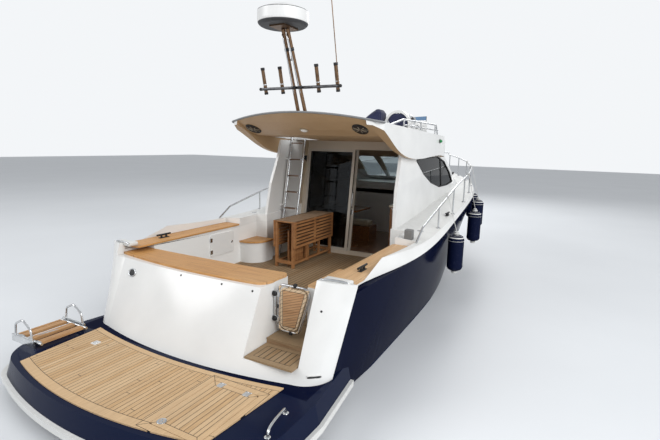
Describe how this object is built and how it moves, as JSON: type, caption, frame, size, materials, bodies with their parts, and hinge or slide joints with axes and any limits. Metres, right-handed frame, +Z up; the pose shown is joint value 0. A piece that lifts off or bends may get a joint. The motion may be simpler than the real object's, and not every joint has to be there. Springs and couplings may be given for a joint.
{
  "type": "flybridge motor cruiser",
  "caption": "Twin-screw flybridge motor cruiser with a navy hull, teak cockpit, bathing platform and sliding saloon door.",
  "frame": {"origin": "on the centreline at the waterline, below the foot of the transom", "axes": "+X towards the bow, +Y to port, +Z up"},
  "size_m": [11.073, 3.6517, 5.8764],
  "materials": {
    "navy_gelcoat": "polished gelcoat",
    "white_gelcoat": "polished gelcoat",
    "bronze_aluminium": "bronze anodised",
    "white_vinyl": "satin",
    "white_plastic": "gloss",
    "teak": "oiled",
    "varnished_teak": "varnished",
    "cabin_wood": "satin varnish",
    "tinted_glass": "polished",
    "clear_glass": "polished",
    "white_aluminium": "gloss",
    "stainless": "polished",
    "blue_acrylic": "polished",
    "smoked_acrylic": "polished",
    "navy_canvas": "woven",
    "cream_leather": "soft",
    "black_leather": "soft",
    "black_plastic": "satin",
    "galvanised": "galvanised",
    "engine_paint": "semi gloss",
    "navy_vinyl": "satin",
    "rope": "laid",
    "bronze": "worn"
  },
  "bodies": {
    "boat": {"anchor": "galvanised", "bathing_platform": "navy_gelcoat", "bench_cover": "navy_canvas", "bow_rail": "stainless", "bulkhead": "white_gelcoat", "cabin": "white_gelcoat", "cabin_glass": "tinted_glass", "cleats": "black_plastic", "cockpit_table": "teak", "cockpit_teak": "teak", "corner_seat": "white_gelcoat", "deck": "white_gelcoat", "dinette": "cabin_wood", "dinette_cushions": "cream_leather", "engines": "engine_paint", "fender_lines": "rope", "fenders": "navy_vinyl", "fixed_pane": "clear_glass", "fixed_panel": "white_aluminium", "flybridge": "white_gelcoat", "flybridge_cushions": "navy_canvas", "flybridge_ladder": "stainless", "flybridge_rails": "stainless", "flybridge_screen": "blue_acrylic", "flybridge_seat": "white_gelcoat", "folded_chairs": "teak", "galley": "cabin_wood", "gate_post": "stainless", "helm_console": "cabin_wood", "helm_cushions": "cream_leather", "helm_pod": "white_gelcoat", "helm_seat": "stainless", "hull": "navy_gelcoat", "ladder_brackets": "stainless", "mast": "bronze_aluminium", "platform_teak": "teak", "radome": "white_plastic", "rail_posts": "stainless", "rod_rack": "stainless", "rub_rail": "white_vinyl", "saloon_sole": "cabin_wood", "saloon_table": "cabin_wood", "shafts": "stainless", "table_leaves": "teak", "teak_caps": "varnished_teak", "transom": "white_gelcoat", "wheel_shafts": "stainless"},
    "gate": {"side_gate": "stainless"},
    "door": {"sliding_door": "white_aluminium", "sliding_pane": "clear_glass"},
    "aft_hatch": {"platform_hatch": "teak"},
    "ladder": {"boarding_ladder": "stainless"},
    "bow_hatch": {"fore_hatch": "smoked_acrylic"},
    "locker": {"locker_door": "white_gelcoat"},
    "lower_wheel": {"helm_wheel": "black_leather"},
    "upper_wheel": {"flybridge_wheel": "stainless"},
    "port_propeller": {"propeller_port": "bronze"},
    "starboard_propeller": {"propeller_starboard": "bronze"},
    "port_rudder": {"rudder_port": "bronze"},
    "starboard_rudder": {"rudder_starboard": "bronze"}
  },
  "joints": [
    {"name": "rudder_port_turn", "type": "hinge", "parent": "boat", "child": "port_rudder", "pos_m": [0.19, 0.62, -0.5], "axis": [0, 0, 1], "range_deg": [-35, 35]},
    {"name": "rudder_starboard_turn", "type": "hinge", "parent": "boat", "child": "starboard_rudder", "pos_m": [0.19, -0.62, -0.5], "axis": [0, 0, 1], "range_deg": [-35, 35]},
    {"name": "helm_turn", "type": "hinge", "parent": "boat", "child": "lower_wheel", "pos_m": [5.56, -0.7, 1.33], "axis": [0.866, 0, -0.5], "range_deg": [-540, 540]},
    {"name": "flybridge_helm_turn", "type": "hinge", "parent": "boat", "child": "upper_wheel", "pos_m": [4.54, -0.69, 2.9], "axis": [0.766, 0, -0.6428], "range_deg": [-540, 540]},
    {"name": "gate_swing", "type": "hinge", "parent": "boat", "child": "gate", "pos_m": [0.6, -0.8125, 0.89], "axis": [0, 0, -1], "range_deg": [0, 95]},
    {"name": "door_slide", "type": "slide", "parent": "boat", "child": "door", "axis": [0, -1, 0], "range_m": [0, 0.9125]},
    {"name": "platform_hatch_lift", "type": "hinge", "parent": "boat", "child": "aft_hatch", "pos_m": [-0.15, -0.89, 0.412], "axis": [0, 1, 0], "range_deg": [0, 85]},
    {"name": "boarding_ladder_swing", "type": "hinge", "parent": "boat", "child": "ladder", "pos_m": [-0.325, 1.715, 0.452], "axis": [-1, 0, 0], "range_deg": [0, 265]},
    {"name": "fore_hatch_lift", "type": "hinge", "parent": "boat", "child": "bow_hatch", "pos_m": [7.77694, 0, 1.89317], "axis": [0, 1, 0], "range_deg": [0, 80]},
    {"name": "locker_door_swing", "type": "hinge", "parent": "boat", "child": "locker", "pos_m": [2.39, 1.2817, 0.98], "axis": [0, 0, 1], "range_deg": [0, 100]},
    {"name": "port_propeller_spin", "type": "hinge", "parent": "boat", "child": "port_propeller", "pos_m": [0.62, 0.62, -0.7], "axis": [0.9799, 0, 0.1994], "continuous": true},
    {"name": "starboard_propeller_spin", "type": "hinge", "parent": "boat", "child": "starboard_propeller", "pos_m": [0.62, -0.62, -0.7], "axis": [0.9799, 0, 0.1994], "continuous": true}
  ],
  "couplings": [
    {"joint": "rudder_starboard_turn", "follows": "rudder_port_turn", "ratio": 1},
    {"joint": "helm_turn", "follows": "rudder_port_turn", "ratio": 15.4},
    {"joint": "flybridge_helm_turn", "follows": "rudder_port_turn", "ratio": 15.4}
  ]
}
